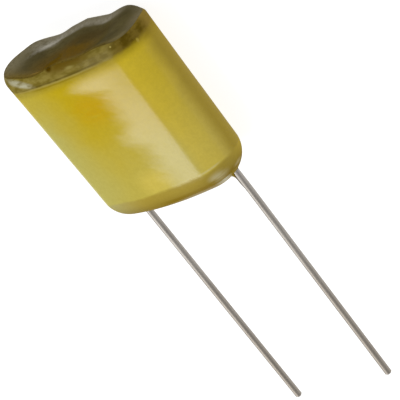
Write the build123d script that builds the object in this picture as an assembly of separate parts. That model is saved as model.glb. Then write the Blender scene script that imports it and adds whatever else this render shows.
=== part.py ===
"""Radial film capacitor: an oval roll of metallized film, wrapped in tape and closed with poured resin.

Millimetres. X runs across the width, Y along the roll towards the poured end, Z up.
The part lies on its pressed back face, and its two leads point along -Y.
While it is built, Y = 0 is the end that the leads come out of, and Z = 0 is the resting face.
"""
import math
import os

from build123d import *

# Body, outside the tape
body_length = 22.3
poured_end_width = 21.2
lead_end_width = 19.7
thickness = 9.2
end_radius = 4.0
back_land_width = 5.0
lead_end_rounding = 3.2
poured_end_rounding = 1.8

# Tape
tape_thickness = 0.25
tape_mouth_height = 1.0

# Roll of film and the metal sprayed on its two ends
roll_start = 3.1
poured_fill_depth = 2.7
spray_thickness = 0.35

# Leads
lead_pitch = 15.0
lead_diameter = 0.8
lead_length = 30.2
lead_shift = 0.24
lead_drop = 0.3
left_toe_in_degrees = 0.6
right_toe_in_degrees = 1.15
lead_tip_chamfer = 0.15
lead_bend_radius = 1.0
toe_bend_radius = 25.0
foot_bend_radius = 0.6
foot_length = 3.6
foot_lift = 0.1
straight_before_exit = 0.3
bend_reach_share = 0.6

# Insulating sleeve on the lead that comes back through the core
core_offset = 5.2
sleeve_diameter = 1.3
sleeve_overhang = 0.3

# Solder on the lead feet
solder_length = 3.4
solder_width = 2.0
solder_height = 1.0
solder_slope_degrees = 25

# Poured surface of the open end
rim_drop = 0.85
dish_depth = 0.6
ripple_height = 0.13
ripple_length = 7.0
ripple_place = 0.2
cross_ripple_height = 0.08
left_rise_height = 0.7
left_rise_start = 5.0
surface_margin = 2.0
surface_rows = 9
surface_columns = 17

# Resin drawn down along the leads
left_neck_height = 1.2
right_neck_height = 2.4
neck_root = 0.9
neck_root_radius = 1.15
neck_root_lean = 0.45
neck_tip_wall = 0.06
neck_flare = 3
neck_section_shares = (0, 0.3, 0.55, 0.8, 1)

roll_end = body_length - poured_fill_depth
lead_radius = lead_diameter / 2
lead_level = thickness / 2 - lead_drop
left_exit = lead_shift - lead_pitch / 2
right_exit = lead_shift + lead_pitch / 2
beyond = body_length + lead_length


def oval(width, inset, place):
    """One cross-section: a pressed oval with a flat land on its back and a crowned front."""
    half_width = width / 2 - inset
    top = thickness - inset
    middle = thickness / 2
    half_thickness = middle - inset
    round_end = end_radius - inset
    half_land = back_land_width / 2
    centre = half_width - round_end
    spare = half_thickness - round_end

    crown = (centre**2 + half_thickness**2 - round_end**2) / (2 * spare)
    flank = ((centre - half_land) ** 2 + half_thickness**2 - round_end**2) / (2 * spare)
    rise = crown - half_thickness
    crown_meets = (centre * crown / (crown - round_end), top - crown + rise * crown / (crown - round_end))
    run = (centre - half_land) * flank / (flank - round_end)
    fall = (half_thickness - flank) * flank / (flank - round_end)
    flank_meets = (half_land + run, inset + flank + fall)

    with BuildSketch(Plane.XZ.offset(-place)) as section:
        with BuildLine():
            Line((-half_land, inset), (half_land, inset))
            TangentArc((half_land, inset), flank_meets, tangent=(1, 0))
            ThreePointArc(flank_meets, (half_width, middle), crown_meets)
            ThreePointArc(crown_meets, (0, top), (-crown_meets[0], crown_meets[1]))
            ThreePointArc(
                (-crown_meets[0], crown_meets[1]), (-half_width, middle), (-flank_meets[0], flank_meets[1])
            )
            TangentArc((-half_land, inset), (-flank_meets[0], flank_meets[1]), tangent=(-1, 0))
        make_face()
    return section.sketch


def body_form(inset):
    """The whole tapering body, inset from the outside by a wall, with both ends rounded."""
    lead_end = oval(lead_end_width, inset, inset)
    poured_end = oval(poured_end_width, inset, body_length - inset)
    blank = loft([lead_end, poured_end], ruled=True)
    blank = fillet(blank.faces().sort_by(Axis.Y)[0].edges(), lead_end_rounding - inset)
    return fillet(blank.faces().sort_by(Axis.Y)[-1].edges(), poured_end_rounding - inset)


def slab(start, end):
    """Everything between two planes across the roll."""
    reach = poured_end_width + thickness
    return Pos(0, (start + end) / 2, 0) * Box(2 * reach, end - start, 2 * reach)


def poured_height(x, z):
    """How far along Y the poured surface lies: dished, rippled across the width and drawn up on its left."""
    across = 2 * x / poured_end_width
    through = 2 * z / thickness - 1
    dish = dish_depth * max(0, 1 - across**2) * max(0, 1 - through**2)
    turn = 2 * math.pi * (x - ripple_place) / ripple_length
    ripple = ripple_height * math.cos(turn) + cross_ripple_height * math.sin(turn / 2) * through
    left_share = max(0, -x - left_rise_start) / (poured_end_width / 2 - left_rise_start)
    return body_length - rim_drop - dish + ripple + left_rise_height * left_share**2


def above_poured_surface():
    """The space over the poured surface, to be cut from the end of the body."""
    half = poured_end_width / 2 + surface_margin
    rows = []
    for row in range(surface_rows):
        z = (thickness + 2 * surface_margin) * row / (surface_rows - 1) - surface_margin
        xs = [half * (2 * column / (surface_columns - 1) - 1) for column in range(surface_columns)]
        rows.append([Vector(x, poured_height(x, z), z) for x in xs])
    surface = Face.make_surface_from_array_of_points(rows)
    return extrude(surface, amount=body_length, dir=(0, 1, 0))


def wire(points, radii):
    """A round wire along straight runs joined by bends, with its last end slightly chamfered."""
    path = FilletPolyline(*points, radius=radii)
    section = Plane(origin=path @ 0, z_dir=path % 0) * Circle(lead_radius)
    bent = sweep(section, path=path)
    tip = bent.edges().filter_by(GeomType.CIRCLE).sort_by(Axis.Y)[0]
    return chamfer(tip, lead_tip_chamfer)


def free_run(exit_x, neck_height, toe_in_degrees):
    """The straight run of a lead outside the resin, which turns towards +X from its neck on."""
    toe_in = math.radians(toe_in_degrees)
    bend = neck_height + toe_bend_radius * math.tan(abs(toe_in) / 2)
    inward = (lead_length - bend) * math.tan(toe_in)
    return [(exit_x, -bend, lead_level), (exit_x + inward, -lead_length, lead_level)]


def make_left_lead():
    """Soldered on the poured end, back through the core in its sleeve, out beside the right lead."""
    foot_y = roll_end + foot_lift + lead_radius
    bend_reach = bend_reach_share * lead_bend_radius
    jog_start = roll_start - sleeve_overhang - bend_reach
    jog_end = straight_before_exit + bend_reach
    points = [
        (foot_length - core_offset, foot_y, lead_level),
        (-core_offset, foot_y, lead_level),
        (-core_offset, jog_start, lead_level),
        (left_exit, jog_end, lead_level),
        *free_run(left_exit, left_neck_height, left_toe_in_degrees),
    ]
    return wire(points, [foot_bend_radius, lead_bend_radius, lead_bend_radius, toe_bend_radius])


def make_right_lead():
    """Soldered flat on the near end of the roll and bent straight out."""
    foot_y = roll_start - foot_lift - lead_radius
    points = [
        (right_exit - foot_length, foot_y, lead_level),
        (right_exit, foot_y, lead_level),
        *free_run(right_exit, right_neck_height, -right_toe_in_degrees),
    ]
    return wire(points, [lead_bend_radius, toe_bend_radius])


def make_sleeve():
    """Tube round the returning lead, from under the poured end's spray to just past the near one."""
    start = roll_start - sleeve_overhang
    length = roll_end - spray_thickness - start
    tube = Circle(sleeve_diameter / 2) - Circle(lead_radius)
    return extrude(Plane((-core_offset, start, lead_level), z_dir=(0, 1, 0)) * tube, amount=length)


def make_solder(centre_x, seat_y, outward):
    """A sloping mound of solder on the sprayed metal, before the lead is taken out of it."""
    seat = Plane((centre_x, seat_y, lead_level), x_dir=(1, 0, 0), z_dir=(0, outward, 0))
    mound = seat * SlotOverall(solder_length, solder_width)
    return extrude(mound, amount=solder_height, taper=solder_slope_degrees)


def make_neck(exit_x, height, inward):
    """Resin drawn down a lead: a horn, rooted in the fill on the lead's inner side and thin at its tip."""
    tip_radius = lead_radius + neck_tip_wall
    rings = []
    for share in neck_section_shares:
        radius = tip_radius + (neck_root_radius - tip_radius) * share**neck_flare
        centre_x = exit_x + inward * neck_root_lean * share**2
        centre_y = (height + neck_root) * share - height
        rings.append(Plane((centre_x, centre_y, lead_level), z_dir=(0, 1, 0)) * Circle(radius))
    return loft(rings)


outside = body_form(0)
inside = body_form(tape_thickness)
open_space = above_poured_surface()

left_lead = make_left_lead()
right_lead = make_right_lead()
lead_sleeve = make_sleeve()
foot_middle = foot_length / 2
top_solder = make_solder(foot_middle - core_offset, roll_end, 1) - left_lead
bottom_solder = make_solder(right_exit - foot_middle, roll_start, -1) - right_lead

core = [left_lead, lead_sleeve]
spray_line = roll_start + spray_thickness
far_spray_line = roll_end - spray_thickness
film_winding = (inside & slab(spray_line, far_spray_line)) - core
bottom_spray = (inside & slab(roll_start, spray_line)) - core
top_spray = (inside & slab(far_spray_line, roll_end)) - core

tape_wrap = (outside & slab(tape_mouth_height, beyond)) - inside - open_space
top_fill = (inside & slab(roll_end, beyond)) - open_space - [left_lead, top_solder]
necks = make_neck(left_exit, left_neck_height, 1) + make_neck(right_exit, right_neck_height, -1)
bottom_fill = (outside & slab(-beyond, roll_start)) - tape_wrap + necks
bottom_fill = bottom_fill - [left_lead, right_lead, lead_sleeve, bottom_solder]

nodes = {
    "film_winding": film_winding,
    "top_metal_spray": top_spray,
    "bottom_metal_spray": bottom_spray,
    "left_lead": left_lead,
    "right_lead": right_lead,
    "lead_sleeve": lead_sleeve,
    "top_solder_joint": top_solder,
    "bottom_solder_joint": bottom_solder,
    "tape_wrap": tape_wrap,
    "top_end_fill": top_fill,
    "bottom_end_fill": bottom_fill,
}

# The origin goes on the resting plane, under the middle of the part's box
box = Compound(list(nodes.values())).bounding_box()
to_origin = Pos(-box.center().X, -box.center().Y, -box.min.Z)
os.makedirs("parts", exist_ok=True)
for name, shape in nodes.items():
    placed = to_origin * shape
    export_step(placed, f"parts/{name}.step")
    print(name, len(placed.solids()), "solid", round(placed.volume, 3), "mm3")
print("moved to origin by", tuple(round(value, 3) for value in to_origin.position))
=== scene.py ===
# %% [markdown]
# # A radial film capacitor
# The real object is a pressed roll of metallized film. Tape is wound round it, resin closes both ends, and
# two tinned wires leave one end. The solids already give each piece its size and place. This lesson dresses
# them: it models the tape and the resin as smooth meshes, and gives every piece a finish made of nodes.
#
# First comes the frame, with every solid where it belongs. Its box is kept, to compare it with the
# dressed model's box at the end.

# %% Load the frame
import math

import bmesh
import bpy
from mathutils import Matrix, Quaternion, Vector, noise


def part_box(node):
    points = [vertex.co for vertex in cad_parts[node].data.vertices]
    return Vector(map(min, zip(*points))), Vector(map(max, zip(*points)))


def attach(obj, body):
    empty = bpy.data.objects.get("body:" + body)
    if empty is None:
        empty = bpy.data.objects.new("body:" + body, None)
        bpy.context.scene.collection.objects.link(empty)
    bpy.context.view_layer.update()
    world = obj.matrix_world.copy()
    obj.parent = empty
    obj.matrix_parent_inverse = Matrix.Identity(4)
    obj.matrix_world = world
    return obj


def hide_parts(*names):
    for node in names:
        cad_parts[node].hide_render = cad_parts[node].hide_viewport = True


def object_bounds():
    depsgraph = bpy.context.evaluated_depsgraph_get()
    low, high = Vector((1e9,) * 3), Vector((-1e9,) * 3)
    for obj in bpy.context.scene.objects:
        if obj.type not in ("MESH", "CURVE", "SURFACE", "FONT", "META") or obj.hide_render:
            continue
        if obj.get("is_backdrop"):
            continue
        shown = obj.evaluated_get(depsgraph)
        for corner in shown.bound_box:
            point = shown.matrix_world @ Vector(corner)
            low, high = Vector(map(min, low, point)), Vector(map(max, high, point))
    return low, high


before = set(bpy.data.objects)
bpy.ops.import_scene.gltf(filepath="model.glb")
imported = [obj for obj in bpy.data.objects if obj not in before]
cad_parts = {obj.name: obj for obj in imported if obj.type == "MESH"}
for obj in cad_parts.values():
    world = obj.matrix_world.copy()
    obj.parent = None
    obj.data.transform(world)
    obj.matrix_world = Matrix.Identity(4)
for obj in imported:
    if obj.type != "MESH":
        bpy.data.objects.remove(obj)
cad_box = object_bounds()
print("solids:", sorted(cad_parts))

# %% [markdown]
# The body is a pressed oval, and a pressed oval is made of arcs: a flat land on the back, two slow flanks,
# two tight round ends and one slow crown on the front. The sizes below are the ones that the solids were
# made to. What the frame can tell, such as the thickness and the two ends of the roll, is read from it.

# %% Sizes of the body
MM = 0.001
body_length = 22.3 * MM
lead_end_width = 19.7 * MM
poured_end_width = 21.2 * MM
end_radius = 4.0 * MM
back_land = 5.0 * MM
lead_end_rounding = 3.2 * MM
poured_end_rounding = 1.8 * MM
tape_wall = 0.25 * MM
tape_mouth = 1.0 * MM

tape_low, tape_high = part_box("tape_wrap")
thickness = tape_high.z - tape_low.z
middle = thickness / 2
seat_y = tape_low.y - tape_mouth
body_end = seat_y + body_length
roll_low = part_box("bottom_metal_spray")[0].y
roll_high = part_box("top_metal_spray")[1].y
print(f"body {body_length / MM:.1f} mm long, {thickness / MM:.1f} mm thick, seat at y {seat_y / MM:.2f} mm")

# %% [markdown]
# A section made of arcs is drawn best with a compass, and spinning one point is Blender's compass. Half of
# the oval is drawn that way and the other half is its mirror image, so both sides are truly alike. Each
# point remembers its home on the section and which way is out. Later rows are made by extruding this ring,
# and an extruded point keeps what its parent remembered, so any row can be placed by its height and inset.

# %% Draw the section with a compass
flank_steps = 16
end_steps = 30
crown_steps = 36
joined = 0.01 * MM

half_land = back_land / 2
arc_centre = lead_end_width / 2 - end_radius
spare = middle - end_radius
crown_radius = (arc_centre**2 + middle**2 - end_radius**2) / (2 * spare)
flank_radius = ((arc_centre - half_land) ** 2 + middle**2 - end_radius**2) / (2 * spare)
crown_turn = math.asin(arc_centre / (crown_radius - end_radius))
flank_turn = math.asin((arc_centre - half_land) / (flank_radius - end_radius))
end_turn = math.pi - crown_turn - flank_turn


def of_kind(geometry, kind):
    """The vertices, edges or faces among what an operator gave back."""
    return [part for part in geometry if isinstance(part, kind)]


def draw_section(bm):
    """Draws the oval as one closed ring of edges, and returns the edges."""
    home = bm.verts.layers.float_vector.new("home")
    outward = bm.verts.layers.float_vector.new("outward")
    start = bmesh.ops.create_vert(bm, co=(0, 0, 0))["vert"]
    land = bmesh.ops.extrude_vert_indiv(bm, verts=start)["verts"]
    bmesh.ops.translate(bm, verts=land, vec=(half_land, 0, 0))
    tip = land
    compass = (
        ((half_land, 0, flank_radius), flank_turn, flank_steps),
        ((arc_centre, 0, middle), end_turn, end_steps),
        ((0, 0, thickness - crown_radius), crown_turn, crown_steps),
    )
    for centre, turn, steps in compass:
        arc = bmesh.ops.spin(bm, geom=tip, cent=centre, axis=(0, -1, 0), angle=turn, steps=steps)
        tip = of_kind(arc["geom_last"], bmesh.types.BMVert)
    bmesh.ops.mirror(bm, geom=bm.verts[:] + bm.edges[:], axis="X", merge_dist=joined)
    bmesh.ops.remove_doubles(bm, verts=bm.verts, dist=joined)
    for vert in bm.verts:
        before, after = [edge.other_vert(vert).co for edge in vert.link_edges]
        along = after - before
        out = Vector((along.z, 0, -along.x)).normalized()
        if out.dot(vert.co - Vector((0, 0, middle))) < 0:
            out.negate()
        vert[home] = vert.co
        vert[outward] = out
    return bm.edges[:]


trial = bmesh.new()
print("points in the section:", len(draw_section(trial)))
trial.free()

# %% [markdown]
# The body widens a little from the lead end to the poured end. Scaling the ring would squash its round
# ends, so the two ends are moved apart and only the crown and the flanks stretch. Both ends of the body are
# rounded over: near an end plane the section is inset as a quarter circle asks.

# %% Place a point on the body
def rounding(depth, radius):
    """How far a rounded end stands in from the side, at a depth below its end plane."""
    short = max(0, radius - depth)
    return radius - math.sqrt(radius**2 - min(short, radius) ** 2)


def outside_inset(y):
    """The inset of the body's rounded ends at y."""
    return rounding(y - seat_y, lead_end_rounding) + rounding(body_end - y, poured_end_rounding)


def body_point(home, outward, y, inset):
    """A point of the section, carried to y on the widening body and moved in by the inset."""
    widen = (poured_end_width - lead_end_width) / 2 * (y - seat_y) / body_length
    spread = max(-1, min(1, home.x / arc_centre))
    return Vector((home.x + widen * spread - inset * outward.x, y, home.z - inset * outward.z))


print(f"inset at the tape's mouth: {outside_inset(tape_low.y) / MM:.2f} mm")

# %% [markdown]
# The resin in the poured end has set with a dish and a few slow ripples. It stands higher on the left and
# falls a little at the right end, and towards the back it has sagged and crept up here and there. The rim of
# tape follows it. One formula gives that surface, so tape and resin meet. Each wave in it has a place along
# X, a reach, a height, and the level where it starts, counted from 1 on the front to -1 on the back.

# %% Shape the poured surface
rim_drop = 0.85 * MM
dish_depth = 0.6 * MM
ripple_height = 0.13 * MM
ripple_length = 7.0 * MM
ripple_place = 0.2 * MM
cross_ripple_height = 0.08 * MM
left_rise_height = 0.7 * MM
left_rise_start = 5.0 * MM
from_middle = 0
everywhere = 2
rim_waves = (
    (-8.3 * MM, 1.1 * MM, 0.22 * MM, from_middle),
    (-5.15 * MM, 1.8 * MM, -0.46 * MM, from_middle),
    (-0.7 * MM, 0.75 * MM, 0.27 * MM, from_middle),
    (2.4 * MM, 1.8 * MM, -0.33 * MM, from_middle),
    (9.1 * MM, 1.5 * MM, -0.55 * MM, from_middle),
    (10.0 * MM, 2.6 * MM, -0.3 * MM, everywhere),
)
fade_share = 0.75


def poured_height(x, z):
    """Where the poured surface lies along the body: dished, rippled and drawn up on its left."""
    across = 2 * x / poured_end_width
    through = 2 * z / thickness - 1
    dish = dish_depth * max(0, 1 - across**2) * max(0, 1 - through**2)
    turn = 2 * math.pi * (x - ripple_place) / ripple_length
    ripple = ripple_height * math.cos(turn) + cross_ripple_height * math.sin(turn / 2) * through
    left_share = max(0, -x - left_rise_start) / (poured_end_width / 2 - left_rise_start)
    wave = 0
    for place, reach, height, start in rim_waves:
        faded = min(1, max(0, start - through) / fade_share) ** 2
        wave += height * math.exp(-(((x - place) / reach) ** 2)) * faded
    return body_end - rim_drop - dish + ripple + left_rise_height * left_share**2 + wave


print(f"poured surface at its middle: y {poured_height(0, middle) / MM:.2f} mm")

# %% [markdown]
# Every soft form here is a stack of rows. A row starts as the ring before it, extruded with no length, and is
# then put in place by a rule that gives each point its height and inset. A subdivided cage would be smooth
# too, but rows go exactly where the real sizes ask. The same helpers close a ring with smaller rings.

# %% Grow and place rows
def place_row(bm, verts, rule):
    """Moves a row of points to the height and inset that the rule gives for each point."""
    home = bm.verts.layers.float_vector["home"]
    outward = bm.verts.layers.float_vector["outward"]
    for vert in verts:
        y, inset = rule(vert[home], vert[outward])
        vert.co = body_point(vert[home], vert[outward], y, inset)


def grow(bm, ring):
    """Extrudes a ring with no length. Returns the new ring and its points."""
    grown = bmesh.ops.extrude_edge_only(bm, edges=ring)["geom"]
    edges = [edge for edge in of_kind(grown, bmesh.types.BMEdge) if edge.is_boundary]
    return edges, of_kind(grown, bmesh.types.BMVert)


def stack_rows(bm, ring, rules):
    """Places the ring by the first rule and grows it through the others. Returns the last ring."""
    place_row(bm, {vert for edge in ring for vert in edge.verts}, rules[0])
    for rule in rules[1:]:
        ring, verts = grow(bm, ring)
        place_row(bm, verts, rule)
    return ring


def level(y, inset):
    """The rule of a flat row."""
    return lambda home, outward: (y, inset)


def scale_row(bm, verts, scale, x, z):
    """Scales points about a line that runs along the body at x and z."""
    bmesh.ops.scale(bm, vec=(scale, 1, scale), verts=verts, space=Matrix.Translation((-x, 0, -z)))


def fill_ring(bm, ring, steps, settle=None):
    """Closes a ring with rings that shrink to the body's middle. Settle may move each ring's points."""
    for step in range(1, steps + 1):
        ring, verts = grow(bm, ring)
        scale_row(bm, verts, (steps - step) / (steps + 1 - step), 0, middle)
        if settle:
            settle(verts, 1 - step / steps)
    bmesh.ops.remove_doubles(bm, verts=bm.verts, dist=joined)


trial = bmesh.new()
stack_rows(trial, draw_section(trial), [level(seat_y, 0), level(body_end, 0)])
print("faces between two rows:", len(trial.faces))
trial.free()

# %% [markdown]
# A finished bmesh becomes a piece of the frame. Its faces are turned to look outwards and shaded smooth, but
# an edge that bends further than the limit stays sharp, as a cut edge does. The piece then rides on the
# part's root and stands for the solid that it replaces.

# %% Turn a bmesh into a piece
smooth_limit = math.radians(50)


def make_piece(name, bm, slot, *nodes):
    """Writes a bmesh as a smooth piece that stands for the named solids."""
    bmesh.ops.recalc_face_normals(bm, faces=bm.faces)
    mesh = bpy.data.meshes.new(name)
    bm.to_mesh(mesh)
    bm.free()
    mesh.shade_smooth()
    mesh.set_sharp_from_angle(angle=smooth_limit)
    piece = bpy.data.objects.new(name, mesh)
    bpy.context.scene.collection.objects.link(piece)
    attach(piece, "root")
    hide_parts(*nodes)
    print(name, len(mesh.polygons), "faces")
    return piece


print(f"edges stay sharp from {math.degrees(smooth_limit):.0f} degrees on")

# %% [markdown]
# The tape is several turns of yellow film, drawn as one wall. A pressed roll isn't a machined block, so its
# long sides get faint dents of a few hundredths of a millimetre. The outer end of the tape shows as a thin
# step, and it lies on the back, where such parts have it. A Displace modifier could dent the sides too, but
# a rule in code can let the dents fade towards the rounded ends.

# %% Dent the sides of the roll
dent_height = 0.03 * MM
dent_length = 7.0 * MM
crown_dents = (
    ((1.2 * MM, 20.0 * MM), 2.2 * MM, 0.06 * MM),
    ((3.0 * MM, 11.0 * MM), 1.6 * MM, 0.02 * MM),
)
lap_step = 0.05 * MM
lap_place = -5.4 * MM
lap_reach = 9.0 * MM


def side_wave(home, y):
    """How far the side of the roll is dented in at a point, with the step of the tape's outer end."""
    dent = max(0, noise.noise(Vector((home.x, y, home.z)) / dent_length)) * dent_height
    if home.z > middle:
        for place, reach, depth in crown_dents:
            away = Vector((home.x - place[0], y - place[1])).length / reach
            dent += depth * math.exp(-(away**2))
    past_lap = (home.x - lap_place) / lap_reach
    if home.z < middle and 0 < past_lap < 1:
        return dent + lap_step * (1 - past_lap)
    return dent


def outside_rule(y):
    """A row on the outside of the tape. The dents fade towards the rounded ends."""
    fade = min(1, (y - tape_low.y) / lead_end_rounding) * min(1, (body_end - y) / lead_end_rounding)
    return lambda home, outward: (y, outside_inset(y) + side_wave(home, y) * fade)


print(f"deepest dent in the crown: {max(dent[-1] for dent in crown_dents) / MM:.2f} mm")

# %% [markdown]
# At the rim the tape ends where the poured surface cuts the body. A Boolean cut would leave thin ragged
# faces there, so the last rows are bent towards the rim instead. At the right end it is pressed in a little
# further, most on its lower side, so the corner of the body looks rounder there.

# %% Follow the poured surface at the rim
rim_tries = 6
corner_inset = 0.45 * MM
corner_level = 3.4 * MM
corner_reach = 3.0 * MM


def corner_wear(home):
    """How much further the rim is pressed in at the right end of the body, most on the lower side."""
    to_right = max(0, home.x - arc_centre) / end_radius
    return corner_inset * to_right * math.exp(-(((home.z - corner_level) / corner_reach) ** 2))


def rim_rule(share, inset, lift):
    """A row between the top of the straight side and the rim, where the poured surface cuts the body.

    The rim's height hangs on how far it stands in, and that on its height, so it is found in a few tries.
    """
    shoulder = body_end - poured_end_rounding

    def rule(home, outward):
        rim = shoulder
        wear = corner_wear(home)
        for _ in range(rim_tries):
            point = body_point(home, outward, rim, outside_inset(rim) + inset + wear)
            rim = poured_height(point.x, point.z)
        y = shoulder + (rim - shoulder) * share
        return y + lift, outside_inset(y) + inset + wear * share**2

    return rule


print(f"the rim lies {rim_drop / MM:.2f} mm below the end plane")

# %% [markdown]
# The rows of the tape run up the outside, over a small round lip at the rim, and down the inside, where the
# last ring is bridged to the first. A Solidify modifier would give the wall its thickness too, but not a
# round lip.

# %% Wind the tape
mouth_steps = 12
side_steps = 60
rim_steps = 10
lip_steps = 5
inner_steps = 8
lip_height = 0.05 * MM
mouth_turn = math.asin(1 - tape_mouth / lead_end_rounding)


def tape_rules():
    """All rows of the tape, from the inner edge of its mouth round to the foot of its inner wall."""
    low, high = seat_y + tape_mouth, body_end - poured_end_rounding
    rules = [level(low, outside_inset(low) + tape_wall)]
    for step in range(mouth_steps):
        angle = mouth_turn * (1 - step / mouth_steps)
        rules.append(outside_rule(seat_y + lead_end_rounding * (1 - math.sin(angle))))
    side = seat_y + lead_end_rounding
    rules += [outside_rule(side + (high - side) * step / side_steps) for step in range(side_steps)]
    rules += [rim_rule(step / rim_steps, 0, 0) for step in range(rim_steps + 1)]
    for step in range(1, lip_steps):
        turn = math.pi * step / lip_steps
        rules.append(rim_rule(1, tape_wall / 2 * (1 - math.cos(turn)), lip_height * math.sin(turn)))
    rules += [rim_rule(1 - step / inner_steps, tape_wall, 0) for step in range(inner_steps)]
    for step in range(inner_steps):
        y = high + (low - high) * step / inner_steps
        rules.append(level(y, outside_inset(y) + tape_wall))
    return rules


bm = bmesh.new()
mouth = draw_section(bm)
foot = stack_rows(bm, mouth, tape_rules())
bmesh.ops.bridge_loops(bm, edges=mouth + foot)
tape = make_piece("tape_wrap_skin", bm, "yellow_tape", "tape_wrap")

# %% [markdown]
# The poured end is a plug of resin inside the rim. Its wall is hidden, and its face is what shows. It wets
# the tape and covers its cut edge as a small round shoulder, then follows the dish. Rings that shrink towards
# the middle carry that face, and a slow noise keeps it from looking machined. Each point also keeps how near
# to the rim it is, as an attribute that the finish reads later. The plug reaches down to the sprayed end of
# the roll.

# %% Pour the open end
face_steps = 40
wetting = 0.12 * MM
wetting_reach = 0.35 * MM
tuck = 0.02 * MM
overlap = 0.005 * MM
shoulder_radius = 0.25 * MM
shoulder_steps = 6
rim_reach = 2.0 * MM
flow_height = 0.09 * MM
flow_length = 3.2 * MM


def shoulder_rules():
    """Rows that carry the resin over the cut edge of the tape, from its outer side."""
    start = math.asin((poured_end_rounding - rim_drop) / poured_end_rounding)
    rules = []
    for step in range(shoulder_steps + 1):
        angle = start + (math.pi / 2 - start) * step / shoulder_steps
        inset = shoulder_radius * (math.cos(start) - math.cos(angle)) - overlap
        rules.append(rim_rule(1, inset, shoulder_radius * (math.sin(angle) - math.sin(start))))
    return rules


def pour_face(bm, ring):
    """Fills the rim with rings that lie on the poured surface and know how near the rim is."""
    to_rim = bm.verts.layers.float["to_rim"]
    for vert in bm.verts:
        vert[to_rim] = 1

    def settle(verts, share):
        depth = (1 - share) * end_radius
        wet = wetting * math.exp(-depth / wetting_reach)
        for vert in verts:
            flow = noise.noise(vert.co * Vector((1, 0, 1)) / flow_length) * flow_height * (1 - share)
            vert.co.y = poured_height(vert.co.x, vert.co.z) + wet + flow
            vert[to_rim] = max(0, 1 - depth / rim_reach)

    fill_ring(bm, ring, face_steps, settle)


bm = bmesh.new()
bm.verts.layers.float.new("to_rim")
base = draw_section(bm)
wall = [level(roll_high, tape_wall + tuck)]
wall += [rim_rule(step / rim_steps, tape_wall - tuck, 0) for step in range(rim_steps + 1)]
rim = stack_rows(bm, base, wall + shoulder_rules())
bmesh.ops.contextual_create(bm, geom=base)
pour_face(bm, rim)
print("points round the rim:", len(rim))
poured_end = make_piece("top_end_fill_pour", bm, "amber_resin", "top_end_fill")

# %% [markdown]
# Resin also closes the lead end. Its wall is hidden in the tape as far as the tape's mouth. There it comes
# out flush with the tape, goes round the edge as a quarter circle and runs flat to the middle.

# %% Close the lead end
edge_steps = 16
cap_steps = 10


def close_lead_end(bm):
    """The plug itself: hidden wall, rounded edge and flat middle."""
    low = seat_y + tape_mouth
    rules = [level(roll_low, tape_wall + tuck), level(low + tuck, outside_inset(low) + tape_wall + tuck)]
    for step in range(edge_steps + 1):
        angle = mouth_turn + (math.pi / 2 - mouth_turn) * step / edge_steps
        height = seat_y + lead_end_rounding * (1 - math.sin(angle))
        rules.append(level(height, lead_end_rounding * (1 - math.cos(angle))))
    base = draw_section(bm)
    ring = stack_rows(bm, base, rules)
    bmesh.ops.contextual_create(bm, geom=base)
    fill_ring(bm, ring, cap_steps)


bm = bmesh.new()
close_lead_end(bm)
print("faces in the plug:", len(bm.faces))

# %% [markdown]
# Where a lead leaves, resin has crept down the wire and set as a small horn. It hangs on the inner side of
# the wire only, and its outer side stays in the resin. A horn that is merely pushed into the resin shows a
# crease all round. So each ring of the horn lies on the resin's own surface, lowered by a share that starts
# from nothing: the horn leaves the surface without a corner.

# %% Draw a horn down each lead
lead_radius = 0.4 * MM
lead_shift = 0.24 * MM
lead_pitch = 15.0 * MM
lead_drop = 0.3 * MM
lead_level = middle - lead_drop
left_horn_height = 1.2 * MM
right_horn_height = 2.4 * MM
horn_sides = 40
horn_steps = 18
horn_flare = 3
horn_reach = 1.9 * MM
horn_wall = 0.06 * MM
horn_lean = 0.45 * MM
horn_sink = 0.02 * MM
horn_least = -0.15
horn_lopsided = 5
horns = (
    (lead_shift - lead_pitch / 2, left_horn_height, 1),
    (lead_shift + lead_pitch / 2, right_horn_height, -1),
)


def lead_end_height(x, z):
    """Where the resin of the lead end lies along the body, near its rounded edge and in its flat middle."""
    from_centre = math.hypot(max(0, abs(x) - arc_centre), z - middle)
    depth = max(0, min(lead_end_rounding, end_radius - from_centre))
    return seat_y + lead_end_rounding - math.sqrt(lead_end_rounding**2 - (lead_end_rounding - depth) ** 2)


def draw_horn(bm, exit_x, height, inward):
    """Resin drawn down one lead, from a wide ring in its surface to a thin one, lowest on the inner side."""
    tip = lead_radius + horn_wall
    upright = Matrix.Translation((exit_x, 0, lead_level)) @ Matrix.Rotation(math.pi / 2, 4, "X")
    circle = bmesh.ops.create_circle(
        bm, cap_ends=False, segments=horn_sides, radius=horn_reach, matrix=upright
    )
    verts = circle["verts"]
    first = ring = list({edge for vert in verts for edge in vert.link_edges})
    radius = horn_reach
    for step in range(horn_steps + 1):
        share = 1 - step / horn_steps
        wanted = tip + (horn_reach - tip) * share**horn_flare
        centre = exit_x + inward * horn_lean * share**2
        if step:
            ring, verts = grow(bm, ring)
        middle_x = sum(vert.co.x for vert in verts) / len(verts)
        bmesh.ops.translate(bm, verts=verts, vec=(centre - middle_x, 0, 0))
        scale_row(bm, verts, wanted / radius, centre, lead_level)
        lowered = (1 - share) ** horn_flare
        for vert in verts:
            inner = max(0, 1 + inward * (vert.co.x - centre) / wanted) / 2
            tip_y = seat_y - height * (horn_least + (1 - horn_least) * inner**horn_lopsided)
            surface = lead_end_height(vert.co.x, vert.co.z) + horn_sink * share
            vert.co.y = surface + (tip_y - surface) * lowered
        radius = wanted
    bmesh.ops.contextual_create(bm, geom=first)
    bmesh.ops.contextual_create(bm, geom=ring)


for exit_x, height, inward in horns:
    draw_horn(bm, exit_x, height, inward)
lead_end = make_piece("bottom_end_fill_pour", bm, "amber_resin", "bottom_end_fill")

# %% [markdown]
# A finish is a network of nodes. Wired one by one, the nodes hide the idea, so the sums are written as Python
# sums: a Value wraps one socket, and each operator on it adds the Math node that does the sum. The number may
# stand on either side of the operator.

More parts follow.
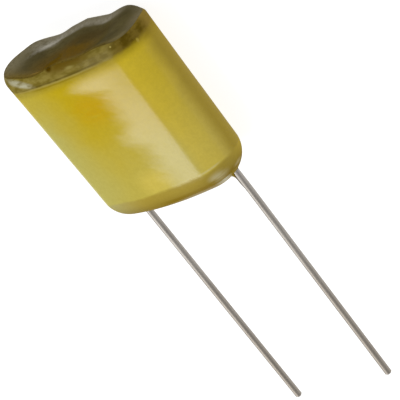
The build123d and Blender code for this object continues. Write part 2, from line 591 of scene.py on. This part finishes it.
# %% Write shader maths as sums
class Value:
    """A number or vector that changes over a surface: one output socket, with operators."""

    def __init__(self, finish, socket):
        self.finish = finish
        self.socket = socket

    def __add__(self, other):
        return self.finish.sum("ADD", self, other)

    def __sub__(self, other):
        return self.finish.sum("SUBTRACT", self, other)

    def __rsub__(self, other):
        return self.finish.sum("SUBTRACT", other, self)

    def __mul__(self, other):
        return self.finish.sum("MULTIPLY", self, other)

    __radd__ = __add__
    __rmul__ = __mul__


print("operators of a Value:", [name for name in vars(Value) if name.endswith(("add__", "sub__", "mul__"))])

# %% [markdown]
# A Finish is one material. Every node in it comes from one method, which sets the node up and feeds its
# sockets with numbers or Values. The other methods only name the nodes that are used most: a coordinate, a
# noise, a soft step, a soft spot, a mix of two colours and a bump.

# %% Make nodes with one method
class Finish:
    """One material, with a method for any node and a few for the nodes that are used most."""

    def __init__(self, name, fixed):
        self.material = bpy.data.materials.new(name)
        self.material.use_nodes = True
        self.tree = self.material.node_tree
        self.shader = self.tree.nodes["Principled BSDF"]
        self.feed(self.shader, fixed)

    def feed(self, node, inputs):
        """Links Values to a node's sockets and sets everything else on them."""
        for socket, value in inputs.items():
            if isinstance(value, Value):
                self.tree.links.new(value.socket, node.inputs[socket])
            else:
                node.inputs[socket].default_value = value

    def node(self, kind, settings, inputs, output=0):
        """Adds a node with its settings and inputs, and returns one of its outputs."""
        node = self.tree.nodes.new(kind)
        for setting, value in settings.items():
            setattr(node, setting, value)
        self.feed(node, inputs)
        return Value(self, node.outputs[output])

    def sum(self, operation, first, second):
        """A Math node on two numbers."""
        return self.node("ShaderNodeMath", {"operation": operation}, {0: first, 1: second})

    def vector(self, operation, first, second, output=0):
        """A Vector Math node on two vectors."""
        return self.node("ShaderNodeVectorMath", {"operation": operation}, {0: first, 1: second}, output)

    def place(self):
        """Where the point lies on the part, in millimetres."""
        where = self.node("ShaderNodeTexCoord", {}, {}, "Object")
        return self.node("ShaderNodeMapping", {}, {"Vector": where, "Scale": (1 / MM, 1 / MM, 1 / MM)})

    def axis(self, point, name):
        """One coordinate of a point, by its letter."""
        return self.node("ShaderNodeSeparateXYZ", {}, {0: point}, name)

    def cloud(self, point, size, detail=2):
        """Noise from 0 to 1 whose blots are about as large as the size, given along X, Y and Z."""
        scaled = self.vector("DIVIDE", point, size)
        return self.node("ShaderNodeTexNoise", {}, {"Vector": scaled, "Scale": 1, "Detail": detail})

    def ease(self, value, start, end):
        """0 before the start and 1 past the end, with a soft passage between them."""
        ends = {"Value": value, "From Min": start, "From Max": end}
        return self.node("ShaderNodeMapRange", {"interpolation_type": "SMOOTHSTEP"}, ends)

    def spot(self, point, centre, reach, core=0):
        """1 in the middle of an ellipsoid and 0 outside it. The core is the share that stays at 1."""
        away = self.vector("DIVIDE", self.vector("SUBTRACT", point, centre), reach)
        return self.ease(self.vector("LENGTH", away, (0, 0, 0), "Value"), 1, core)

    def mix(self, share, first, second):
        """A colour between two colours."""
        return self.node("ShaderNodeMix", {"data_type": "RGBA"}, {0: share, 6: first, 7: second}, 2)

    def bump(self, height, depth):
        """A normal that is tilted by a height from 0 to 1, with the depth in millimetres."""
        return self.node("ShaderNodeBump", {}, {"Strength": 1, "Distance": depth * MM, "Height": height})

    def finish(self, inputs):
        """Feeds the surface itself, and returns the material."""
        self.feed(self.shader, inputs)
        return self.material


print("methods of a Finish:", [name for name in vars(Finish) if not name.startswith("_")])

# %% [markdown]
# Colours are easiest to judge as a screen shows them, but a shader works in linear light. The screen's own
# curve converts them: a straight toe for the darkest tones, and a power above it.

# %% Turn a screen colour into a shader colour
full_scale = 255
toe_end = 0.04
toe_slope = 12.92
curve_offset = 0.055
curve_power = 2.4


def to_linear(share):
    """One channel of a screen colour, from 0 to 1, in linear light."""
    if share < toe_end:
        return share / toe_slope
    return ((share + curve_offset) / (1 + curve_offset)) ** curve_power


def paint(red, green, blue):
    """A colour as a screen shows it, from 0 to 255, as the linear colour that a shader takes."""
    return (*[to_linear(value / full_scale) for value in (red, green, blue)], 1)


print("a mid grey in linear light:", round(paint(128, 128, 128)[0], 3))

# %% [markdown]
# The tape is a clear yellow film, several turns deep, and what lies under it decides its colour. Real light
# scattering in the film would be slow and noisy, so the depth is painted: each region is a soft mask on the
# part's own coordinates, in millimetres. Noises of several sizes keep the masks from looking drawn.

# %% Noises for the yellow tape
def only(finish, **axes):
    """A point that knows only some of its coordinates."""
    return finish.node("ShaderNodeCombineXYZ", {}, axes)


film = Finish("yellow_tape", {"Specular IOR Level": 0, "Coat Roughness": 0.22})
point = film.place()
x, y, z = [film.axis(point, name) for name in "XYZ"]
along = only(film, Y=y)
blots = film.cloud(point, (5, 5, 5), 3)
streaks = film.cloud(point, (2.5, 0.6, 2.5), 4)
specks = film.cloud(point, (0.5, 0.5, 0.5), 3)
mottle = film.cloud(point, (1.2, 0.55, 1.2), 5)
patches = film.cloud(point, (0.9, 0.7, 0.9), 3)
wisps = film.cloud(point, (2.4, 0.35, 2.4), 4)
grain = film.cloud(point, (0.22, 0.3, 0.22), 2)
print("nodes for the tape's noises:", len(film.tree.nodes))

# %% [markdown]
# Over the roll the tape is a bright golden yellow. It is paler towards the lead end and on the left, and
# amber in the upper middle. Its right end is painted brighter, as painted fill light, and the right side is
# painted darker where it turns under, as painted shade.

# %% Paint the tape over the roll
gold = paint(194, 168, 24)
low_gold = paint(193, 177, 76)
left_gold = paint(191, 173, 66)
left_low_gold = paint(187, 178, 96)
bright_gold = paint(214, 193, 84)
deep_gold = paint(198, 162, 10)
right_fill_light_gold = paint(212, 186, 42)
right_low_fill_light_gold = paint(212, 190, 74)
underside_shade_gold = paint(157, 135, 44)

lower = film.ease(y + blots * 6, 23, 12)
colour = film.mix(lower, gold, low_gold)
to_left = film.ease(x + blots * 3, 1, -7)
left_tone = film.mix(film.ease(y + blots * 4, 19, 25), left_low_gold, left_gold)
colour = film.mix(to_left, colour, left_tone)
glow = film.spot(point, (1.8, 8.6, 9), (3.4, 2.6, 4), 0.2)
colour = film.mix(glow * 0.8, colour, bright_gold)
amber = film.spot(point, (1.2, 19.4, 9.2), (4.6, 3.0, 4), 0.1)
colour = film.mix(amber * film.ease(streaks + blots, 0.6, 1.05), colour, deep_gold)
# Painted fill light: the right end of the tape is painted brighter than its own yellow.
right = film.mix(lower, right_fill_light_gold, right_low_fill_light_gold)
colour = film.mix(film.ease(x, 7, 8.6), colour, right)
# Painted shade: the right side is painted darker where it turns under.
painted_underside_shade = film.ease(z + blots, 7.4, 4.6) * film.ease(x, 6, 8)
colour = film.mix(painted_underside_shade, colour, underside_shade_gold)
print("nodes so far:", len(film.tree.nodes))

# %% [markdown]
# Past the roll's far end there is only resin under the tape, so it turns olive there, with a browner rim and
# a dark right corner. The end of the roll shows through as two fine dark lines with a pale one between them,
# and they fade towards the right.

# %% Paint the band past the roll
top_line = roll_high / MM
dark_olive = paint(116, 101, 37)
light_olive = paint(142, 127, 62)
corner_dark = paint(90, 72, 10)
corner_light = paint(118, 98, 34)
corner_under = paint(134, 112, 50)
wisp_olive = paint(172, 160, 92)
rim_umber = paint(104, 82, 22)
line_gold = paint(168, 150, 72)

olive = film.mix(film.ease(mottle, 0.35, 0.65), dark_olive, light_olive)
corner = film.mix(film.ease(patches, 0.35, 0.65), corner_dark, corner_light)
corner = film.mix(film.ease(z, 5.2, 3.4), corner, corner_under)
olive = film.mix(film.ease(x + blots * 3, 8.6, 11), olive, corner)
pale_wisp = film.spot(point, (2.2, 24.95, 9.1), (1.2, 0.3, 1), 0.1)
olive = film.mix(pale_wisp * film.ease(streaks, 0.3, 0.6) * 0.8, olive, wisp_olive)
rim_brown = film.ease(y + mottle * 1.2, top_line + 1.2, top_line + 2.4)
by_rim = film.spot(point, (2.2, 25.4, 9), (4.4, 3, 3), 0.3)
olive = film.mix(rim_brown * by_rim, olive, rim_umber)
to_right = film.ease(x + blots * 2, 5, 9)
hard_step = film.ease(y, top_line - 0.06, top_line + 0.18) * (1 - to_right)
soft_step = film.ease(y + mottle * 0.5 + patches * 0.5, top_line + 0.25, top_line + 0.9) * to_right
past_top = (hard_step + soft_step) * 0.55 + film.ease(y, top_line - 1.1, top_line) * 0.45
colour = film.mix(past_top, colour, olive)
line_share = (1 - to_right) * film.ease(x + streaks * 2, -5, -2.5)
for height, tone in ((0.36, (92, 78, 28)), (-0.08, (138, 117, 24))):
    dark_line = film.spot(along, (0, top_line + height, 0), (1, 0.15, 1), 0.2)
    colour = film.mix(dark_line * line_share * 0.55, colour, paint(*tone))
pale_line = film.spot(along, (0, top_line + 0.13, 0), (1, 0.13, 1), 0.3)
colour = film.mix(pale_line * film.ease(x + streaks * 4, 10, 4) * 0.8, colour, line_gold)
print("nodes so far:", len(film.tree.nodes))

# %% [markdown]
# Past the near end of the roll the tape is drawn in over thin resin. It looks dark amber there, greyer on the
# left, and darker towards the end, partly from the resin and partly as painted shade where the tape turns
# down. A pale crease shows on its right.

# %% Paint the drawn-in end
low_line = roll_low / MM
low_amber = paint(138, 116, 42)
high_amber = paint(172, 150, 60)
low_grey = paint(142, 128, 72)
high_grey = paint(176, 168, 108)
deep_amber = paint(126, 100, 4)
crease_white = paint(210, 196, 124)

# Darker towards the end: partly the resin's own colour, partly painted shade where the end turns down.
up_end = film.ease(y + blots, 5.4, 7.8)
amber_end = film.mix(up_end, low_amber, high_amber)
grey_end = film.mix(up_end, low_grey, high_grey)
amber_end = film.mix(to_left, amber_end, grey_end)
past_low = film.ease(y + streaks * 0.5 + film.ease(x, 6, 8) * 0.15, low_line + 0.45, low_line)
colour = film.mix(past_low, colour, amber_end)
dark_amber = film.spot(along, (0, 5.4, 0), (1, 0.6, 1), 0.1) * film.ease(x + streaks * 3, 0.5, 3)
colour = film.mix(dark_amber * 0.6, colour, deep_amber)
low_edge = film.spot(along, (0, low_line + 0.05, 0), (1, 0.18, 1), 0.1)
crease = film.spot(point, (8.3, low_line, 7.8), (1.7, 2, 1.8), 0.4)
colour = film.mix(low_edge * crease * 0.8, colour, crease_white)
print("nodes so far:", len(film.tree.nodes))

# %% [markdown]
# Milky wisps, a bubble and a pale mark lie between the turns, and a fine grain runs through the film. Two
# more pale marks are painted highlights, glints on small bubbles. Each mark has a centre, a reach and a tone.

# %% Add wisps, marks and grain
milk_white = paint(184, 181, 152)
low_milk_white = paint(188, 178, 134)
end_milk_white = paint(196, 182, 136)
grain_brown = paint(120, 98, 0)
tape_marks_and_glints = (
    # The first two marks are painted highlights: glints on small bubbles.
    ((-4.0, 25.55, 8.7), (0.3, 0.2, 0.5), (178, 160, 86)),
    ((8.3, 25.0, 8.1), (0.14, 0.14, 0.5), (184, 168, 92)),
    ((10.2, 23.75, 6.2), (0.15, 0.4, 0.25), (176, 154, 60)),
    ((-0.6, 25.6, 8.9), (0.7, 0.55, 0.7), (80, 58, 2)),
)

slanted = only(film, X=x, Y=y + x * 0.32)
milk = film.spot(slanted, (-6.1, 23.0, 0), (2.6, 0.65, 1), 0.3)
colour = film.mix(milk * film.ease(wisps + mottle, 0.5, 1.2), colour, milk_white)
low_milk = film.spot(point, (8.2, 6.05, 7.2), (1.5, 1.0, 2.0), 0.1)
colour = film.mix(low_milk * film.ease(wisps, 0.2, 0.55) * 0.85, colour, low_milk_white)
pale_end = film.spot(point, (9.6, 5.5, 4.6), (0.8, 0.5, 1.5), 0.1)
colour = film.mix(pale_end * 0.7, colour, end_milk_white)
for centre, reach, tone in tape_marks_and_glints:
    colour = film.mix(film.spot(point, centre, reach, 0.3), colour, paint(*tone))
colour = film.mix(film.ease(specks + grain, 0.7, 1.3) * 0.09, colour, grain_brown)
print("nodes so far:", len(film.tree.nodes))

# %% [markdown]
# The gloss is a thin coat over that paint. It is strongest on the right of the crown. On the left the film
# lies uneven and looks duller, with a feathered border, and a mask on the coat's weight says so.

# %% Add the gloss and finish the tape
feathers = film.cloud(only(film, X=x * 0.5, Y=y + x * 0.5, Z=z), (0.9, 0.5, 2), 5)
high_lobe = film.spot(along, (0, 22.4, 0), (1, 1.8, 1), 0.1)
mid_lobe = film.spot(along, (0, 14.6, 0), (1, 1.8, 1), 0.2)
uneven = x + blots * 2 + feathers * 2.2 + mottle * 1.2 + high_lobe * 3 + mid_lobe * 1.5
dull = film.ease(uneven, 8.5, 4.6) * film.ease(z, 7.6, 8.4)
near_end = film.ease(y, top_line - 1.8, top_line - 0.2)
upper = film.ease(y + mottle, 17, 22)
gloss = 0.86 - feathers * 0.2 - upper * film.ease(x + feathers, 4.5, 8) * 0.25
gloss = gloss * (1 - dull * 0.95) * (1 - painted_underside_shade * 0.8)
gloss = gloss * (1 - near_end * 0.85) * (1 - past_low * 0.85)
tape.data.materials.append(
    film.finish(
        {
            "Base Color": colour,
            "Roughness": 0.45 + streaks * 0.1,
            "Coat Weight": gloss,
            "Normal": film.bump(blots + streaks * 0.25 + specks * 0.03, 0.055),
        }
    )
)
print("tape nodes:", len(film.tree.nodes))

# %% [markdown]
# The poured end is dark amber resin, clear enough to look brown where the metal under it is near, and almost
# grey where it is deep. It has set dull, and only a pale streak across its left still shines; that streak is
# a painted reflection, and the pale far side is painted reflection too. A painted highlight lies on the right
# of the shoulder, and the shoulder takes on the colour of the tape under it.

# %% Finish the poured end
resin_grey = paint(77, 69, 40)
resin_light = paint(90, 81, 48)
resin_brown = paint(98, 74, 10)
resin_deep = paint(74, 60, 26)
resin_left = paint(112, 105, 76)
resin_tip = paint(116, 102, 70)
far_side_reflection_white = paint(188, 182, 166)
far_left_reflection_white = paint(156, 151, 136)
left_reflection_white = paint(186, 181, 164)
shoulder_grey = paint(122, 114, 88)
shoulder_amber = paint(112, 92, 30)
shoulder_highlight_white = paint(160, 148, 106)
rim_orange = paint(142, 112, 44)
bubble_brown = paint(70, 50, 2)
fleck_brown = paint(62, 52, 20)


def amber_resin():
    """Dark resin, painted by its depth, with painted reflections on its left and far side and a painted
    highlight on its shoulder.
    """
    finish = Finish("amber_resin", {"Specular IOR Level": 0, "Coat Roughness": 0.12})
    point = finish.place()
    x, z = [finish.axis(point, name) for name in "XZ"]
    blots = finish.cloud(point, (3, 3, 2), 3)
    specks = finish.cloud(point, (0.4, 0.4, 0.4), 3)
    colour = finish.mix(finish.ease(blots, 0.3, 0.7), resin_grey, resin_light)
    brown = finish.spot(point, (-0.2, 25, 6.3), (7.2, 6, 4.1), 0.25)
    colour = finish.mix(brown * finish.ease(blots, 0.1, 0.5), colour, resin_brown)
    deep = finish.spot(point, (2.4, 25, 3.5), (5, 6, 1.9), 0.1)
    colour = finish.mix(deep * 0.8, colour, resin_deep)
    colour = finish.mix(finish.ease(x + blots, -6.5, -9.5), colour, resin_left)
    right_tip = finish.spot(point, (9.6, 25, 3.8), (1.6, 6, 2.2), 0.1)
    colour = finish.mix(right_tip * 0.5, colour, resin_tip)

    # Painted reflection: a pale streak across the left of the face, with some coat of its own.
    slanted = only(finish, X=x + z, Y=x)
    left_reflection_streak = finish.spot(slanted, (-3.75, -5.2, 0), (1.2, 3.2, 1), 0.1)
    # Painted reflections: the far side and the far left of the face are painted pale.
    far_side_reflection = finish.ease(z + blots, 2.3, 1.2) * finish.ease(x, 7, 3)
    colour = finish.mix(far_side_reflection * 0.85, colour, far_side_reflection_white)
    far_left_reflection = finish.spot(point, (-6.8, 25, 1.8), (3.4, 6, 1.8), 0.2)
    colour = finish.mix(far_left_reflection * 0.7, colour, far_left_reflection_white)
    colour = finish.mix(left_reflection_streak * finish.ease(blots + specks, 0.7, 1.1) * 0.8, colour, left_reflection_white)

    to_rim = finish.node("ShaderNodeAttribute", {"attribute_name": "to_rim"}, {}, "Fac")
    shoulder = finish.mix(finish.ease(z, 5, 8.4), shoulder_grey, shoulder_amber)
    # Painted highlight: a pale streak on the right of the shoulder.
    shoulder_highlight = finish.spot(point, (9.2, 25.4, 7.5), (1.6, 2, 2.0), 0.2)
    shoulder = finish.mix(shoulder_highlight * 0.5, shoulder, shoulder_highlight_white)
    by_rim = to_rim + specks * 0.6 - finish.ease(x, 5, 7) * 0.3
    colour = finish.mix(finish.ease(by_rim, 0.6, 1.25) * 0.8, colour, shoulder)
    orange = finish.spot(point, (-3.6, 25, 8.0), (1.1, 6, 0.3), 0.1)
    colour = finish.mix(orange * 0.7, colour, rim_orange)
    bubble = finish.spot(point, (-0.6, 25.6, 8.5), (0.7, 1, 0.8), 0.2)
    colour = finish.mix(bubble, colour, bubble_brown)
    flecks = finish.ease(specks, 0.4, 0.75) * 0.4
    return finish.finish(
        {
            "Base Color": finish.mix(flecks * (1 - far_side_reflection * 0.8), colour, fleck_brown),
            "Roughness": 0.2 + specks * 0.15,
            "Coat Weight": 0.02 + left_reflection_streak * 0.3,
            "Normal": finish.bump(blots, 0.06),
        }
    )


poured_end.data.materials.append(amber_resin())
print("the poured end is finished with", poured_end.data.materials[0].name)

# %% [markdown]
# The same resin closes the lead end, but there it is a thin skin over the roll. So it looks golden, with
# milky patches where it let in air, and it shines most on its right half, short of the edge.

# %% Finish the lead end
skin_dark = paint(124, 98, 6)
skin_gold = paint(150, 127, 32)
skin_milk = paint(190, 184, 152)
skin_speck = paint(110, 92, 36)


def golden_resin():
    """Thin resin with milky patches."""
    finish = Finish("golden_resin", {"Specular IOR Level": 0, "Coat Roughness": 0.15})
    point = finish.place()
    x = finish.axis(point, "X")
    blots = finish.cloud(point, (2.5, 2.5, 2.5), 3)
    specks = finish.cloud(point, (0.4, 0.4, 0.4), 3)
    colour = finish.mix(blots, skin_dark, skin_gold)
    milk = finish.spot(point, (8.0, 5.0, 6.8), (1.3, 1.0, 1.4), 0.2)
    colour = finish.mix(milk * finish.ease(blots, 0.3, 0.6), colour, skin_milk)
    return finish.finish(
        {
            "Base Color": finish.mix(specks * 0.2, colour, skin_speck),
            "Roughness": 0.14 + specks * 0.12,
            "Coat Weight": 0.1 + milk * 0.1 + finish.ease(x, 0, 5) * finish.ease(x, 9, 7) * 0.25,
            "Normal": finish.bump(blots + specks * 0.1, 0.03),
        }
    )


lead_end.data.materials.append(golden_resin())
print("the lead end is finished with", lead_end.data.materials[0].name)

# %% [markdown]
# The leads are copper wire, tinned and drawn through a die. The die leaves fine lines along the wire, so the
# noise is stretched along Y. Tin is a soft grey metal, duller than chrome, with darker dull spots.

# %% Finish the leads
tin_dark = paint(152, 146, 139)
tin_light = paint(178, 173, 166)
tin_tipward = paint(146, 137, 125)


def tinned_wire():
    """Soft grey metal with drawn lines, duller towards the tips."""
    finish = Finish("tinned_wire", {"Metallic": 1})
    point = finish.place()
    lines = finish.cloud(point, (0.1, 5, 0.1), 4)
    blots = finish.cloud(point, (1.5, 3, 1.5), 3)
    drawn = finish.ease(lines + blots * 0.6, 0.5, 1.1)
    colour = finish.mix(drawn, tin_dark, tin_light)
    # Darker towards the tips.
    tipward = finish.ease(finish.axis(point, "Y") + blots * 8, 6, -16)
    colour = finish.mix(tipward * 0.6, colour, tin_tipward)
    return finish.finish(
        {
            "Base Color": colour,
            "Roughness": 0.5 + blots * 0.12,
            "Normal": finish.bump(lines, 0.006),
        }
    )


wire = tinned_wire()
print("wire nodes:", len(wire.node_tree.nodes))

# %% [markdown]
# The rest is hidden in the body, but a part that is taken apart or cut open shows it, so it gets a true
# finish too: grainy sprayed zinc, film with the faint lines of its turns, a plain tube and soft solder.

# %% Finish the inside
zinc_dull = paint(150, 150, 148)
zinc_bright = paint(190, 190, 188)
solder_dull = paint(170, 170, 168)
solder_bright = paint(204, 204, 202)
turn_dark = paint(196, 190, 172)
turn_light = paint(232, 228, 214)
tube_dark = paint(226, 222, 210)
tube_light = paint(240, 238, 230)


def grained_metal(name, dull, bright, roughness, grain_size, depth):
    """A metal with a grain of a given size, between a dull and a bright tone."""
    finish = Finish(name, {"Metallic": 1})
    point = finish.place()
    grain = finish.cloud(point, (grain_size, grain_size, grain_size), 4)
    return finish.finish(
        {
            "Base Color": finish.mix(finish.ease(grain, 0.3, 0.7), dull, bright),
            "Roughness": roughness + grain * 0.15,
            "Normal": finish.bump(grain, depth),
        }
    )


def wound_film():
    """Pale film with the lines of its turns, which run along the roll."""
    finish = Finish("metallized_film", {"Roughness": 0.35, "IOR": 1.5})
    point = finish.place()
    turns = finish.cloud(point, (0.15, 30, 0.15), 3)
    colour = finish.mix(turns, turn_dark, turn_light)
    return finish.finish({"Base Color": colour, "Normal": finish.bump(turns, 0.02)})


def sleeve_tube():
    """A plain pale tube, slightly mottled."""
    finish = Finish("sleeve_tube", {"IOR": 1.45})
    point = finish.place()
    mottle = finish.cloud(point, (0.6, 0.6, 0.6), 3)
    colour = finish.mix(mottle, tube_dark, tube_light)
    return finish.finish({"Base Color": colour, "Roughness": 0.4 + mottle * 0.2})


zinc = grained_metal("sprayed_metal", zinc_dull, zinc_bright, roughness=0.55, grain_size=0.12, depth=0.03)
solder = grained_metal("solder", solder_dull, solder_bright, roughness=0.25, grain_size=0.8, depth=0.02)
finishes = {
    "left_lead": wire,
    "right_lead": wire,
    "top_metal_spray": zinc,
    "bottom_metal_spray": zinc,
    "top_solder_joint": solder,
    "bottom_solder_joint": solder,
    "film_winding": wound_film(),
    "lead_sleeve": sleeve_tube(),
}
for name, material in finishes.items():
    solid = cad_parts[name]
    solid.data.materials.clear()
    solid.data.materials.append(material)
    print(name, "is finished with", material.name)

# %% [markdown]
# The photograph looks down on the part from its poured end, with a long lens, and the picture is turned so
# that the leads run to the lower right. The camera therefore takes its place from a direction and a distance,
# and then rolls about its own axis.

# %% Set up the camera
view_azimuth = math.radians(116.035)
view_elevation = math.radians(39.585)
camera_roll = math.radians(-145.542)
camera_distance = 319.5 * MM
camera_aim = Vector((0.755, 2.539, 4.670)) * MM
camera_lens = 260.86
nearest_share = 0.01

level_share = math.cos(view_elevation)
towards = Vector(
    (
        math.sin(view_azimuth) * level_share,
        -math.cos(view_azimuth) * level_share,
        math.sin(view_elevation),
    )
)
camera_data = bpy.data.cameras.new("camera")
camera_data.lens = camera_lens
camera_data.clip_start = camera_distance * nearest_share
camera = bpy.data.objects.new("camera", camera_data)
camera.rotation_mode = "QUATERNION"
camera.location = camera_aim + towards * camera_distance
camera.rotation_quaternion = (-towards).to_track_quat("-Z", "Y") @ Quaternion((0, 0, 1), camera_roll)
scene = bpy.context.scene
scene.collection.objects.link(camera)
scene.camera = camera
print("camera at", [round(value / MM) for value in camera.location], "mm")

# %% [markdown]
# The light is plain: one large soft box over the part, whose reflection is the pale band on the crown, and an
# even white surround that fills the shadows. The picture is shown with the Standard view, which keeps a white
# floor white and doesn't grey the yellow.

# %% Light the part
white = (1, 1, 1, 1)
soft_box_size = (0.48, 0.36)
soft_box_place = Vector((-0.305, -0.2, 0.5))
soft_box_power = 2.6
surround_strength = 0.52

scene.view_settings.view_transform = "Standard"
world = bpy.data.worlds.new("white_surround")
world.use_nodes = True
background = world.node_tree.nodes["Background"]
background.inputs["Color"].default_value = white
background.inputs["Strength"].default_value = surround_strength
scene.world = world

soft_box = bpy.data.lights.new("soft_box", "AREA")
soft_box.shape = "RECTANGLE"
soft_box.size, soft_box.size_y = soft_box_size
soft_box.energy = soft_box_power
lamp = bpy.data.objects.new("soft_box", soft_box)
lamp.location = soft_box_place
scene.collection.objects.link(lamp)
print("soft box:", soft_box_power, "W")

# %% [markdown]
# The floor is a wide white disc. A glow of its own keeps it as pale as a lit studio table. A second lamp
# would do that too, but it would add a highlight to the tape.

# %% Lay a pale floor
floor_radius = 3.0
floor_segments = 64
floor_glow = 0.88
paper_dark = paint(150, 150, 149)
paper_light = paint(154, 154, 154)


def pale_floor():
    """Matt white paper with a glow of its own."""
    glow = {"Emission Color": white, "Emission Strength": floor_glow}
    finish = Finish("pale_floor", {"Specular IOR Level": 0.1, "Roughness": 0.85, **glow})
    paper = finish.cloud(finish.place(), (40, 40, 40), 3)
    return finish.finish({"Base Color": finish.mix(paper, paper_dark, paper_light)})


bm = bmesh.new()
bmesh.ops.create_circle(bm, cap_ends=True, segments=floor_segments, radius=floor_radius)
floor_mesh = bpy.data.meshes.new("floor")
bm.to_mesh(floor_mesh)
bm.free()
floor = bpy.data.objects.new("floor", floor_mesh)
floor_mesh.materials.append(pale_floor())
scene.collection.objects.link(floor)
floor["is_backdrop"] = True
print("floor:", len(floor_mesh.polygons), "face")

# %% [markdown]
# The last cell compares the dressed model's box with the solids' box, and prints the largest difference.

# %% Compare the boxes
visual_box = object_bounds()
shifts = [abs(a - b) for cad, visual in zip(cad_box, visual_box) for a, b in zip(cad, visual)]
print(f"the dressed box differs from the solids' box by {max(shifts) / MM:.2f} mm at most")
